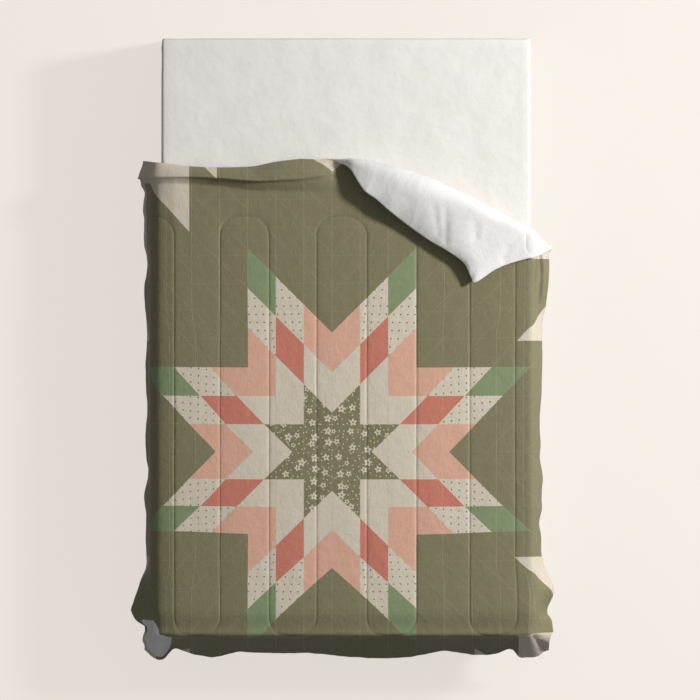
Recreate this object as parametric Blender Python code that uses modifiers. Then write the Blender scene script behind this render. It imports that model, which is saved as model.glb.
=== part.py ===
"""A quilted comforter lying over a plain mattress, its head corner folded back.

Metres, +Z up. The origin is the middle of the mattress's underside, +Y is
towards the head and +X is the side on which the corner is folded back.
"""
import math

import bmesh
import bpy

# Mattress
MATTRESS_WIDTH = 1.37
MATTRESS_LENGTH = 2.185
MATTRESS_HEIGHT = 0.30
MATTRESS_ROUNDING = 0.030
ROUNDING_STEPS = 3

# Comforter: where its four hems would lie if it were spread flat at the mattress's top
SIDE_EDGE = MATTRESS_WIDTH / 2
FOOT_EDGE = -MATTRESS_LENGTH / 2
LEFT_HEM = -SIDE_EDGE - 0.190
RIGHT_HEM = SIDE_EDGE + 0.085
FOOT_HEM = FOOT_EDGE - 0.205
HEAD_HEM = 0.675
DRAWN_IN = 0.016
DRAWN_DEPTH = 0.20

# Filling: its thickness in a channel's middle, at a stitch line and at the hem
LOFT = 0.026
STITCHED = 0.011
HEM_THICKNESS = 0.008
HEM_ROLL = 0.026
STITCH_ROLL = 0.016
HANGING_SQUEEZE = 0.35
SQUEEZED_OVER = 0.060

# Stitching: one serpentine of straight runs joined by round turns at foot and head
RUN_SPACING = 0.1806
MIDDLE_X = -0.009
FOOT_TURN_Y = -1.120
HEAD_TURN_Y = 0.433
TURN_RADIUS = 0.075
STITCH_SIDE = 0.014

# How it lies on the mattress and hangs over the edges
LYING_GAP = 0.0003
BEND_START = 0.010
LEFT_BEND = 0.032
RIGHT_BEND = 0.034
FOOT_BEND = 0.050
FACE_OUTSIDE = 0.014
CORNER_SHORTENING = 0.12

# Lean of the hanging cloth below level, in degrees. A row is a fold or a quiet stretch.
LEFT_LEAN = (
    # y, lean
    (-1.083, 78),
    (-1.064, 69),
    (-1.026, 59),
    (-0.970, 65),
    (-0.915, 73),
    (-0.785, 82),
    (-0.500, 80),
    (-0.200, 83),
    (0.150, 80),
    (0.290, 82),
    (0.400, 77),
    (0.470, 76),
    (0.522, 80),
    (0.574, 68),
    (0.640, 72),
)
RIGHT_LEAN = (
    # y, lean
    (-1.083, 52),
    (-1.055, 56),
    (-1.030, 64),
    (-0.965, 44),
    (-0.900, 56),
    (-0.840, 68),
    (-0.780, 76),
    (-0.500, 74),
    (-0.250, 77),
    (-0.030, 73),
    (0.080, 66),
    (0.140, 58),
    (0.200, 52),
    (0.300, 48),
)
FOOT_LEAN = (
    # x, lean
    (-0.675, 64),
    (-0.640, 80),
    (-0.600, 76),
    (-0.560, 71),
    (-0.500, 68),
    (-0.390, 75),
    (-0.200, 71),
    (0.000, 74),
    (0.180, 71),
    (0.350, 75),
    (0.480, 70),
    (0.560, 71),
    (0.615, 79),
    (0.650, 70),
    (0.675, 64),
)
LEFT_CORNER_LEAN = (
    # degrees round the corner from side to foot, lean
    (0, 78),
    (25, 74),
    (50, 74),
    (72, 66),
    (90, 64),
)
RIGHT_CORNER_LEAN = (
    # degrees round the corner from side to foot, lean
    (0, 52),
    (22, 60),
    (48, 74),
    (75, 67),
    (90, 64),
)

# The head hem is pushed up into a soft ridge, left of the folded corner
HEAD_RIDGE = (
    # x, y of the crease below the ridge, y of the hem, height
    (-0.900, 0.556, 0.640, 0.018),
    (-0.685, 0.552, 0.637, 0.030),
    (-0.526, 0.548, 0.622, 0.036),
    (-0.355, 0.545, 0.617, 0.038),
    (-0.200, 0.556, 0.642, 0.030),
    (-0.080, 0.560, 0.675, 0.000),
    (0.800, 0.560, 0.675, 0.000),
)
RIDGE_CREST = 0.34
RIDGE_HEM_SHARE = 0.12

# The folded corner: the fold line runs from the head hem to the right hem
FOLD_START = (-0.0667, 0.6519)
FOLD_END = (0.7593, 0.3333)
FOLD = (
    # along the line, crease off it, roll radius, degrees turned, flap, slide along, rise
    (-0.150, -0.035, 0.035, 0, 0.000, 0.000, 0.000),
    (0.000, -0.035, 0.035, 92, 0.000, 0.000, 0.000),
    (0.048, -0.031, 0.043, 145, 0.000, -0.004, 0.000),
    (0.111, -0.027, 0.052, 180, 0.004, -0.014, 0.006),
    (0.185, -0.022, 0.058, 180, 0.038, -0.022, 0.004),
    (0.318, -0.005, 0.061, 180, 0.098, -0.040, -0.024),
    (0.385, -0.004, 0.061, 180, 0.115, -0.048, -0.042),
    (0.526, -0.004, 0.052, 180, 0.160, -0.066, -0.030),
    (0.615, -0.012, 0.042, 180, 0.172, -0.078, -0.008),
    (0.700, -0.009, 0.039, 180, 0.186, -0.088, 0.000),
    (0.748, -0.006, 0.037, 180, 0.226, -0.093, 0.000),
    (0.772, -0.004, 0.036, 180, 0.236, -0.096, 0.002),
    (0.805, -0.006, 0.034, 180, 0.160, -0.074, -0.002),
    (0.840, -0.009, 0.031, 180, 0.084, -0.050, -0.004),
    (0.867, -0.014, 0.027, 180, 0.028, -0.018, 0.000),
    (0.900, -0.018, 0.024, 180, 0.004, 0.000, 0.000),
)
SQUEEZE = 0.60
SQUEEZE_WIDTH = 0.070

# The widest step of the cloth's mesh, up to each place along it
COLUMN_STEPS = (
    # up to x, widest step
    (-0.15, 0.046),
    (0.80, 0.031),
)
ROW_STEPS = (
    # up to y, widest step
    (-1.18, 0.042),
    (-1.04, 0.024),
    (0.28, 0.056),
    (0.54, 0.021),
    (0.70, 0.014),
)

COLOURS = {
    # name: red, green, blue, roughness
    "comforter": (0.19, 0.18, 0.11, 0.9),
    "mattress": (0.80, 0.80, 0.79, 0.9),
}


def smooth_step(value):
    """Ease from 0 to 1 as the value goes from 0 to 1."""
    value = min(max(value, 0.0), 1.0)
    return value * value * (3.0 - 2.0 * value)


def read_row(table, place, column=1):
    """Read a table's column at a place between its rows, on a smooth curve."""
    if place <= table[0][0]:
        return table[0][column]
    if place >= table[-1][0]:
        return table[-1][column]
    index = max(row for row in range(len(table) - 1) if table[row][0] <= place)
    start = table[index]
    end = table[index + 1]
    before = table[max(index - 1, 0)]
    after = table[min(index + 2, len(table) - 1)]
    span = end[0] - start[0]
    part = (place - start[0]) / span
    slope_in = (end[column] - before[column]) / (end[0] - before[0]) * span
    slope_out = (after[column] - start[column]) / (after[0] - start[0]) * span
    square = part * part
    cube = square * part
    return (
        (2 * cube - 3 * square + 1) * start[column]
        + (cube - 2 * square + part) * slope_in
        + (3 * square - 2 * cube) * end[column]
        + (cube - square) * slope_out
    )


def hang(length, bend, lean):
    """Follow the cloth over an edge: how far out, how far down, and how steep."""
    face_bend = bend + FACE_OUTSIDE
    turned = min(length / face_bend, lean)
    straight = max(length - face_bend * lean, 0.0)
    out = bend * math.sin(turned) + straight * math.cos(turned)
    down = bend * (1.0 - math.cos(turned)) + straight * math.sin(turned)
    return out, down, turned


def drape(x, y):
    """Place a point of the reverse face on the mattress, with the way its face looks."""
    over_side = abs(x) - (SIDE_EDGE - BEND_START)
    over_foot = FOOT_EDGE + BEND_START - y
    side = 1.0 if x > 0 else -1.0
    top = MATTRESS_HEIGHT + LYING_GAP
    if over_side <= 0 and over_foot <= 0:
        return (x, y, top), (0.0, 0.0, 1.0)
    side_bend = RIGHT_BEND if x > 0 else LEFT_BEND
    side_table = RIGHT_LEAN if x > 0 else LEFT_LEAN
    corner_table = RIGHT_CORNER_LEAN if x > 0 else LEFT_CORNER_LEAN
    if over_side > 0 and over_foot > 0:
        angle = math.atan2(over_foot, over_side)
        share = smooth_step(angle / (math.pi / 2))
        length = math.hypot(over_side, over_foot)
        length *= 1.0 - CORNER_SHORTENING * math.sin(2.0 * angle) ** 2
        bend = side_bend + (FOOT_BEND - side_bend) * share
        lean = math.radians(read_row(corner_table, math.degrees(angle)))
    elif over_side > 0:
        angle = 0.0
        length = over_side
        bend = side_bend
        lean = math.radians(read_row(side_table, y))
    else:
        angle = math.pi / 2
        length = over_foot
        bend = FOOT_BEND
        lean = math.radians(read_row(FOOT_LEAN, x))
    out, down, turned = hang(length, bend, lean)
    outward_x = side * math.cos(angle)
    outward_y = -math.sin(angle)
    start_x = x if over_side <= 0 else side * (SIDE_EDGE - BEND_START)
    start_y = y if over_foot <= 0 else FOOT_EDGE + BEND_START
    place = (start_x + outward_x * out, start_y + outward_y * out, top - down)
    facing = (outward_x * math.sin(turned), outward_y * math.sin(turned), math.cos(turned))
    return place, facing


def lift(place, facing, height):
    """Move a point away from the face it lies on."""
    return tuple(start + height * way for start, way in zip(place, facing))


def lay_ridge(x, y, height):
    """Lay a point on the mattress, over the ridge that the head hem is pushed into."""
    crease = read_row(HEAD_RIDGE, x, 1)
    if y <= crease:
        return lift(*drape(x, y), height)
    hem = read_row(HEAD_RIDGE, x, 2)
    part = (y - crease) / (HEAD_HEM - crease)
    if part < RIDGE_CREST:
        rise = smooth_step(part / RIDGE_CREST)
    else:
        fall = smooth_step((part - RIDGE_CREST) / (1.0 - RIDGE_CREST))
        rise = 1.0 - (1.0 - RIDGE_HEM_SHARE) * fall
    ridge = rise * max(read_row(HEAD_RIDGE, x, 3), 0.0)
    return lift(*drape(x, crease + (hem - crease) * part), height + ridge)


def fold_axes():
    """Give the fold line's length, its direction and the direction across it."""
    run_x = FOLD_END[0] - FOLD_START[0]
    run_y = FOLD_END[1] - FOLD_START[1]
    length = math.hypot(run_x, run_y)
    along = (run_x / length, run_y / length)
    across = (-along[1], along[0])
    return along, across


def fold_place(x, y):
    """Give a flat point's place along the fold line and its distance past the crease."""
    along, across = fold_axes()
    from_x = x - FOLD_START[0]
    from_y = y - FOLD_START[1]
    place = from_x * along[0] + from_y * along[1]
    past = from_x * across[0] + from_y * across[1] - read_row(FOLD, place, 1)
    return place, past


def place_cloth(x, y):
    """Place a point of the reverse face: lying, hanging, on the roll or on the flap."""
    place, past = fold_place(x, y)
    if past <= 0:
        return lay_ridge(x, y, 0.0)
    along, across = fold_axes()
    crease = read_row(FOLD, place, 1)
    radius = read_row(FOLD, place, 2)
    turn = math.radians(min(max(read_row(FOLD, place, 3), 0.0), 180.0))
    flap = max(read_row(FOLD, place, 4), 0.0)
    slide = read_row(FOLD, place, 5)
    rise = read_row(FOLD, place, 6)
    crease_x = FOLD_START[0] + along[0] * place + across[0] * crease
    crease_y = FOLD_START[1] + along[1] * place + across[1] * crease
    to_hem = min((HEAD_HEM - crease_y) / across[1], (RIGHT_HEM - crease_x) / across[0])
    part = min(past / max(to_hem, 0.001), 1.0)
    travelled = part * (radius * turn + flap)
    turned = min(travelled / radius, turn)
    straight = max(travelled - radius * turn, 0.0)
    flap_part = straight / flap if flap > 0 else 0.0
    height = radius * (1.0 - math.cos(turned)) + rise * smooth_step(flap_part)
    offset = crease + radius * math.sin(turned) - straight
    shifted = place + slide * smooth_step(part)
    flat_x = FOLD_START[0] + along[0] * shifted + across[0] * offset
    flat_y = FOLD_START[1] + along[1] * shifted + across[1] * offset
    return lay_ridge(flat_x, flat_y, height)


def turn_distance(x, past_turn, middle):
    """Measure how far a point is from a row of round-ended loops, two runs to each."""
    period = 2.0 * RUN_SPACING
    across = abs((x - middle + RUN_SPACING) % period - RUN_SPACING)
    side = across - RUN_SPACING / 2 + TURN_RADIUS
    end = past_turn + TURN_RADIUS
    outside = math.hypot(max(side, 0.0), max(end, 0.0))
    return abs(outside + min(max(side, end), 0.0) - TURN_RADIUS)


def stitch_distance(x, y):
    """Measure how far a flat point is from the stitching."""
    if y < (FOOT_TURN_Y + HEAD_TURN_Y) / 2:
        return turn_distance(x, FOOT_TURN_Y - y, MIDDLE_X - RUN_SPACING)
    return turn_distance(x, y - HEAD_TURN_Y, MIDDLE_X)


def thickness(x, y):
    """Give the filling's thickness at a flat point."""
    to_hem = min(x - LEFT_HEM, RIGHT_HEM - x, y - FOOT_HEM, HEAD_HEM - y)
    crown = 1.0 - math.exp(-to_hem / HEM_ROLL)
    dip = math.exp(-stitch_distance(x, y) / STITCH_ROLL)
    full = LOFT - (LOFT - STITCHED) * dip
    over_edge = max(abs(x) - SIDE_EDGE, FOOT_EDGE - y) / SQUEEZED_OVER
    full *= 1.0 - HANGING_SQUEEZE * smooth_step(over_edge)
    thick = HEM_THICKNESS + (full - HEM_THICKNESS) * crown
    place, past = fold_place(x, y)
    radius = read_row(FOLD, place, 2)
    if 0.0 < past + SQUEEZE_WIDTH and place > FOLD[0][0]:
        near = smooth_step((past + SQUEEZE_WIDTH) / SQUEEZE_WIDTH)
        limit = SQUEEZE * radius
        thick += (min(thick, limit) - thick) * near
    return thick


def draw_in(x, y):
    """Pull the hems in between the corners, as the filling does."""
    middle_x = (LEFT_HEM + RIGHT_HEM) / 2
    middle_y = (FOOT_HEM + HEAD_HEM) / 2
    share_x = (x - middle_x) / (RIGHT_HEM - middle_x)
    share_y = (y - middle_y) / (HEAD_HEM - middle_y)
    near_side = smooth_step(1.0 - min(x - LEFT_HEM, RIGHT_HEM - x) / DRAWN_DEPTH)
    near_end = smooth_step(1.0 - min(y - FOOT_HEM, HEAD_HEM - y) / DRAWN_DEPTH)
    pulled_x = x - math.copysign(DRAWN_IN, share_x) * near_side * (1.0 - share_y ** 2)
    pulled_y = y - math.copysign(DRAWN_IN, share_y) * near_end * (1.0 - share_x ** 2)
    return pulled_x, pulled_y


def stations(marks, steps):
    """Give the mesh lines through all marks, no further apart than the steps allow."""
    places = sorted(marks)
    lines = [places[0]]
    for start, end in zip(places, places[1:]):
        middle = (start + end) / 2
        widest = next((step for upto, step in steps if middle < upto), steps[-1][1])
        count = max(math.ceil((end - start) / widest - 1e-6), 1)
        lines.extend(start + (end - start) * (index + 1) / count for index in range(count))
    return lines


def column_lines():
    """Give the mesh lines across the cloth, close together at hems and stitch runs."""
    marks = [LEFT_HEM, LEFT_HEM + 0.018, RIGHT_HEM - 0.018, RIGHT_HEM]
    for run in range(8):
        line = MIDDLE_X + (run - 3.5) * RUN_SPACING
        marks.extend((line - STITCH_SIDE, line, line + STITCH_SIDE))
    return stations(marks, COLUMN_STEPS)


def row_lines():
    """Give the mesh lines along the cloth, close together at hems and turns."""
    marks = [FOOT_HEM, FOOT_HEM + 0.018, HEAD_HEM - 0.018, HEAD_HEM]
    for line in (FOOT_TURN_Y, HEAD_TURN_Y):
        marks.extend((line - STITCH_SIDE, line, line + STITCH_SIDE))
    marks.extend((FOOT_TURN_Y + TURN_RADIUS, HEAD_TURN_Y - TURN_RADIUS))
    return stations(marks, ROW_STEPS)


def material(name):
    """Make a plain cloth material."""
    red, green, blue, roughness = COLOURS[name]
    finish = bpy.data.materials.new(name)
    finish.use_nodes = True
    shader = finish.node_tree.nodes["Principled BSDF"]
    shader.inputs["Base Color"].default_value = (red, green, blue, 1.0)
    shader.inputs["Roughness"].default_value = roughness
    return finish


def add_object(name, mesh, collection):
    """Put a mesh into the model as a named piece."""
    mesh.materials.append(material(name))
    piece = bpy.data.objects.new(name, mesh)
    collection.objects.link(piece)
    return piece


def build_mattress(collection):
    """Make the mattress: a plain block with rounded edges."""
    shape = bmesh.new()
    bmesh.ops.create_cube(shape, size=1.0)
    size = (MATTRESS_WIDTH, MATTRESS_LENGTH, MATTRESS_HEIGHT)
    bmesh.ops.scale(shape, verts=shape.verts, vec=size)
    bmesh.ops.translate(shape, verts=shape.verts, vec=(0.0, 0.0, MATTRESS_HEIGHT / 2))
    mesh = bpy.data.meshes.new("mattress")
    shape.to_mesh(mesh)
    shape.free()
    piece = add_object("mattress", mesh, collection)
    rounding = piece.modifiers.new("rounded edges", "BEVEL")
    rounding.width = MATTRESS_ROUNDING
    rounding.segments = ROUNDING_STEPS
    mesh.shade_smooth()
    mesh.set_sharp_from_angle(angle=math.radians(40))


def build_comforter(collection):
    """Make the comforter: its reverse face is laid out, and the filling is added."""
    columns = column_lines()
    rows = row_lines()
    shape = bmesh.new()
    bmesh.ops.create_grid(shape, x_segments=len(columns) - 1, y_segments=len(rows) - 1, size=1.0)
    filled = []
    for vert in shape.verts:
        column = round((vert.co.x + 1.0) / 2.0 * (len(columns) - 1))
        row = round((vert.co.y + 1.0) / 2.0 * (len(rows) - 1))
        x = columns[column]
        y = rows[row]
        filled.append(thickness(x, y))
        vert.co = place_cloth(*draw_in(x, y))
    mesh = bpy.data.meshes.new("comforter")
    shape.to_mesh(mesh)
    shape.free()
    mesh.shade_smooth()
    piece = add_object("comforter", mesh, collection)
    group = piece.vertex_groups.new(name="filling")
    for index, thick in enumerate(filled):
        group.add([index], thick / LOFT, "REPLACE")
    filling = piece.modifiers.new("filling", "SOLIDIFY")
    filling.thickness = LOFT
    filling.offset = 1.0
    filling.vertex_group = group.name


def build():
    """Make the whole object in a collection of its own."""
    for old in list(bpy.data.objects):
        bpy.data.objects.remove(old, do_unlink=True)
    collection = bpy.data.collections.new("comforter on a mattress")
    bpy.context.scene.collection.children.link(collection)
    build_mattress(collection)
    build_comforter(collection)


build()
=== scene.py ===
# A quilted comforter lies over a plain mattress, one head corner folded back over itself.
# Metres, +Z up, +Y towards the head. The origin is the middle of the mattress's underside.
import math

import bmesh
import bpy
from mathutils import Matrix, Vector, noise


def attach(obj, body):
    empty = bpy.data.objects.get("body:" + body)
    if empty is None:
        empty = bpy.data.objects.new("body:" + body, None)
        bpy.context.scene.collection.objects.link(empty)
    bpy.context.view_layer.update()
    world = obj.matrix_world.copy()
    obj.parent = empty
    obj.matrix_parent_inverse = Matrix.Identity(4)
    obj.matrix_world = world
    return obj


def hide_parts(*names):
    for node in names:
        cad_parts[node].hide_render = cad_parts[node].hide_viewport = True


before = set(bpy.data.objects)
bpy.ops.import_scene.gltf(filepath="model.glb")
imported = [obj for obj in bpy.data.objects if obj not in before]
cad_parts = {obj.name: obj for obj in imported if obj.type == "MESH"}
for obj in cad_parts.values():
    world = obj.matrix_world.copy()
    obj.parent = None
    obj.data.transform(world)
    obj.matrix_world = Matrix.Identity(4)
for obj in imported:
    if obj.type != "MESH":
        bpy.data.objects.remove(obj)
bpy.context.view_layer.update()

# Mattress in its fitted sheet
# The real one is a foam block in a white cotton sheet with elastic at its lower edge.
# The sheet is woven, pulled over the block, and gathers a little at the four corners.
MATTRESS_WIDTH = 1.37
MATTRESS_LENGTH = 2.185
MATTRESS_HEIGHT = 0.30
MATTRESS_ROUNDING = 0.013
ROUNDING_STEPS = 5

# The sheet's mesh step, then its soft and fine waves: depth, shares, and for each
# how fast it turns along x, y and z, and its shift
SHEET_SLICE = 0.024
SHEET_DIP = 0.0022
SOFT_SHARE = 0.65
FINE_SHARE = 0.35
SOFT_WAVES = (3.1, 4.3, 3.0, 2.0)
FINE_WAVES = (11.0, 9.0, 8.0, 7.0)

# Its corner gathers: depth, the shares of width and length where they start,
# and the middle they run round
CORNER_GATHER = 0.0040
GATHER_FROM = (0.80, 0.87)
GATHER_MIDDLE = (0.56, 0.96)
GATHERS = 34.0
GATHER_SWAY = 2.0
GATHER_FADE = 0.05
UNDERSIDE = 0.002
UNDERSIDE_FADE = 0.02


def linear(code):
    """Turn an sRGB hex colour into linear light, with full alpha."""
    parts = [int(code[start:start + 2], 16) / 255 for start in (1, 3, 5)]
    light = [part / 12.92 if part <= 0.04045 else ((part + 0.055) / 1.055) ** 2.4 for part in parts]
    return (*light, 1.0)


def add_node(tree, kind, sockets=(), **settings):
    """Add a node with its settings. A socket is given a value or the output it is linked to."""
    node = tree.nodes.new(kind)
    for name, value in settings.items():
        setattr(node, name, value)
    for name, value in dict(sockets).items():
        if isinstance(value, bpy.types.NodeSocket):
            tree.links.new(value, node.inputs[name])
        else:
            node.inputs[name].default_value = value
    return node


def work_out(tree, found, steps):
    """Add a maths node for each step. A term is a number or the name of an earlier result."""
    for result, operation, *terms in steps:
        sockets = {index: found[term] if isinstance(term, str) else term for index, term in enumerate(terms)}
        found[result] = add_node(tree, "ShaderNodeMath", sockets, operation=operation).outputs[0]


def mix_colours(tree, share, first, second, **settings):
    """Mix two colours by a share and give the mixed colour's output."""
    return add_node(
        tree, "ShaderNodeMix", {0: share, 6: first, 7: second}, data_type="RGBA", **settings
    ).outputs[2]


def clothe(tree, shader, colour, relief):
    """Give a cloth's surface its colour and its relief in metres."""
    bump = add_node(tree, "ShaderNodeBump", {"Strength": 1.0, "Distance": 1.0, "Height": relief})
    tree.links.new(colour, shader.inputs["Base Color"])
    tree.links.new(bump.outputs["Normal"], shader.inputs["Normal"])


def smooth_step(value):
    """Ease from 0 to 1 as the value goes from 0 to 1."""
    value = min(max(value, 0.0), 1.0)
    return value * value * (3.0 - 2.0 * value)


def waves(place, rule):
    """Give a smooth random value from 0 to 1. The rule is waves a metre in x, y and z, and a shift."""
    across, along, up, shift = rule
    return 0.5 + 0.5 * noise.noise(Vector((place.x * across, place.y * along, place.z * up + shift)))


block = bmesh.new()
bmesh.ops.create_cube(block, size=1.0)
bmesh.ops.scale(block, verts=block.verts, vec=(MATTRESS_WIDTH, MATTRESS_LENGTH, MATTRESS_HEIGHT))
bmesh.ops.translate(block, verts=block.verts, vec=(0.0, 0.0, MATTRESS_HEIGHT / 2))
bmesh.ops.bevel(
    block,
    geom=block.edges[:],
    offset=MATTRESS_ROUNDING,
    segments=ROUNDING_STEPS,
    profile=0.5,
    affect="EDGES",
    material=-1,
)
for axis, half in ((0, MATTRESS_WIDTH / 2), (1, MATTRESS_LENGTH / 2), (2, MATTRESS_HEIGHT / 2)):
    flat_half = half - MATTRESS_ROUNDING
    count = round(2 * flat_half / SHEET_SLICE)
    normal = Vector((0.0, 0.0, 0.0))
    normal[axis] = 1.0
    for index in range(count - 1):
        place = Vector((0.0, 0.0, MATTRESS_HEIGHT / 2))
        place[axis] += -flat_half + 2 * flat_half * (index + 1) / count
        geometry = block.verts[:] + block.edges[:] + block.faces[:]
        bmesh.ops.bisect_plane(block, geom=geometry, dist=1e-6, plane_co=place, plane_no=normal)
block.normal_update()
for vert in block.verts:
    if vert.co.z < UNDERSIDE:
        continue
    wide = abs(vert.co.x) / (MATTRESS_WIDTH / 2)
    long = abs(vert.co.y) / (MATTRESS_LENGTH / 2)
    soft = waves(vert.co, SOFT_WAVES)
    fine = waves(vert.co, FINE_WAVES)
    dip = SHEET_DIP * (SOFT_SHARE * soft + FINE_SHARE * fine)
    upright = 1.0 - abs(vert.normal.z)
    corner = smooth_step((wide - GATHER_FROM[0]) / (1.0 - GATHER_FROM[0]))
    corner *= smooth_step((long - GATHER_FROM[1]) / (1.0 - GATHER_FROM[1]))
    round_corner = math.atan2(abs(vert.co.y) - GATHER_MIDDLE[1], abs(vert.co.x) - GATHER_MIDDLE[0])
    gather = 0.5 + 0.5 * math.sin(round_corner * GATHERS + GATHER_SWAY * fine)
    dip += CORNER_GATHER * corner * upright * gather * smooth_step(vert.co.z / GATHER_FADE)
    vert.co -= vert.normal * dip * smooth_step(vert.co.z / UNDERSIDE_FADE)
mattress_mesh = bpy.data.meshes.new("mattress_in_fitted_sheet")
block.to_mesh(mattress_mesh)
block.free()
mattress_mesh.shade_smooth()
mattress = bpy.data.objects.new("mattress_in_fitted_sheet", mattress_mesh)
bpy.context.scene.collection.objects.link(mattress)

# White percale cotton, woven: matt, with a faint crossed grain of thread and soft shallow creases, whose
# hollows are painted darker as painted shade.
# The thread is 0.4 mm, too fine to show, so the grain is drawn at 3 mm.
SHEET_WHITE = "#e4e2df"
# Painted shade: the colour given to the low parts of the creases
SHEET_PAINTED_SHADE = "#d9d6d2"
PERCALE_GRAIN = {"Scale": 105.0, "Distortion": 1.5, "Detail Scale": 4.0}
GRAIN_RELIEF = 0.00025
CREASE_RELIEF = 0.0050
percale = bpy.data.materials.new("white_percale_cotton_woven")
percale.use_nodes = True
tree = percale.node_tree
shader = tree.nodes["Principled BSDF"]
object_place = add_node(tree, "ShaderNodeTexCoord").outputs["Object"]
warp = add_node(tree, "ShaderNodeTexWave", {"Vector": object_place, **PERCALE_GRAIN}, bands_direction="X")
weft = add_node(tree, "ShaderNodeTexWave", {"Vector": object_place, **PERCALE_GRAIN}, bands_direction="Y")
creases = add_node(
    tree,
    "ShaderNodeTexNoise",
    {"Vector": object_place, "Scale": 9.0, "Detail": 5.0, "Roughness": 0.55},
)
found = {"warp": warp.outputs["Fac"], "weft": weft.outputs["Fac"], "creases": creases.outputs["Fac"]}
work_out(
    tree,
    found,
    (
        ("thread", "MULTIPLY", "warp", "weft"),
        ("grain", "MULTIPLY", "thread", GRAIN_RELIEF),
        ("relief", "MULTIPLY_ADD", "creases", CREASE_RELIEF, "grain"),
    ),
)
# Painted shade: the creases' hollows take the darker colour, their crests the white
painted_shade_tone = mix_colours(tree, found["creases"], linear(SHEET_PAINTED_SHADE), linear(SHEET_WHITE))
clothe(tree, shader, painted_shade_tone, found["relief"])
shader.inputs["Roughness"].default_value = 0.88
shader.inputs["Sheen Weight"].default_value = 0.10
mattress_mesh.materials.append(percale)
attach(mattress, "root")
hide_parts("mattress")

# Comforter
# The real one is two sheets of brushed microfibre, the upper one printed, with polyester filling.
# They are sewn at the hems and quilted with a serpentine of long runs joined by round turns.
SIDE_EDGE = MATTRESS_WIDTH / 2
FOOT_EDGE = -MATTRESS_LENGTH / 2
LEFT_HEM = -SIDE_EDGE - 0.190
RIGHT_HEM = SIDE_EDGE + 0.085
FOOT_HEM = FOOT_EDGE - 0.205
HEAD_HEM = 0.675
DRAWN_IN = 0.016
DRAWN_DEPTH = 0.20

# Filling: its thickness in a channel's middle, how far the stitching pulls it in, and the hem's.
# Over the edges it is squeezed, and at the foot and left it thins from a line, over a width.
LOFT = 0.026
STITCH_DIP = 0.0014
STITCH_WIDTH = 0.0038
CHANNEL_DIP = 0.0019
CHANNEL_WIDTH = 0.040
HEM_THICKNESS = 0.0055
HEM_ROLL = 0.022
HANGING_SQUEEZE = 0.35
SQUEEZED_OVER = 0.060
SQUEEZED_AT_FOOT = 0.02
FOOT_THINNING = 0.015
FOOT_THINNED = (-1.025, 0.080)
LEFT_THINNING = 0.009
LEFT_THINNED = (-0.625, 0.070)
FOLD_PUFF = 0.8
FILL_LUMPS = (
    # height, lumps a metre across and along, layer of noise
    (0.0022, 6.0, 4.0, 10.0),
    (0.0007, 24.0, 17.0, 11.0),
)

# Puckers beside the stitching: depth, width, and how many a metre across and along
PUCKER_DEPTH = 0.0007
PUCKER_WIDTH = 0.018
PUCKER_LAYER = 12.0
RUN_PUCKERS = (8.0, 42.0)
TURN_PUCKERS = (30.0, 30.0)
TURN_REACH = 0.05

# Stitching: straight runs joined by round turns at foot and head
RUN_SPACING = 0.1806
RUN_PLACES = (-0.636, -0.467, -0.285, -0.109, 0.077, 0.261, 0.458, 0.628)
MIDDLE_X = -0.009
FOOT_TURN_Y = -1.127
HEAD_TURN_Y = 0.433
TURN_RADIUS = 0.075

# How it lies on the mattress and hangs over the edges, and how the hanging edges ripple.
# The foot's ripples run along one row of the noise.
LYING_GAP = 0.0006
SIDE_BEND_START = 0.010
FOOT_BEND_START = -0.014
LEFT_BEND = 0.045
RIGHT_BEND = 0.008
FOOT_BEND = 0.016
FACE_OUTSIDE = 0.014
LEFT_CORNER_SHORTENING = 0.12
RIGHT_CORNER_SHORTENING = 0.24
RIGHT_CORNER_TURN = 1.6
CORNER_QUIET = 0.15
FOOT_ROW = 2.0
LEAN_RIPPLES = (
    # degrees, ripples a metre along the hem, layer of noise
    (1.6, 9.0, 3.0),
    (0.9, 31.0, 4.0),
)

# Lean of the hanging cloth below level, in degrees. A row is a fold or a quiet stretch.
LEFT_LEAN = (
    # y, lean
    (-1.090, 78),
    (-1.070, 63),
    (-1.048, 56),
    (-1.026, 52),
    (-1.004, 56),
    (-0.959, 63),
    (-0.915, 70),
    (-0.870, 80),
    (-0.826, 81),
    (-0.781, 79),
    (-0.715, 80),
    (-0.670, 80),
    (-0.626, 76),
    (-0.581, 78),
    (-0.537, 83),
    (-0.510, 83),
    (-0.470, 80),
    (-0.381, 79),
    (-0.270, 82),
    (-0.226, 80),
    (-0.137, 78),
    (-0.048, 81),
    (0.041, 81),
    (0.107, 77),
    (0.174, 77),
    (0.241, 82),
    (0.285, 81),
    (0.330, 76),
    (0.419, 77),
    (0.463, 74),
    (0.522, 78),
    (0.552, 71),
    (0.574, 74),
    (0.600, 75),
    (0.640, 76),
)
RIGHT_LEAN = (
    # y, lean
    (-1.107, 36),
    (-1.085, 38),
    (-1.063, 41),
    (-1.041, 52),
    (-1.019, 52),
    (-0.996, 46),
    (-0.965, 37),
    (-0.940, 34),
    (-0.915, 41),
    (-0.885, 46),
    (-0.820, 55),
    (-0.752, 55),
    (-0.707, 62),
    (-0.650, 52),
    (-0.619, 53),
    (-0.574, 51),
    (-0.541, 47),
    (-0.507, 50),
    (-0.463, 58),
    (-0.408, 55),
    (-0.352, 58),
    (-0.285, 57),
    (-0.219, 51),
    (-0.130, 49),
    (-0.041, 50),
    (0.048, 50),
    (0.070, 45),
    (0.093, 38),
    (0.115, 36),
    (0.148, 32),
    (0.181, 28),
    (0.226, 25),
    (0.300, 24),
)
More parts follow.
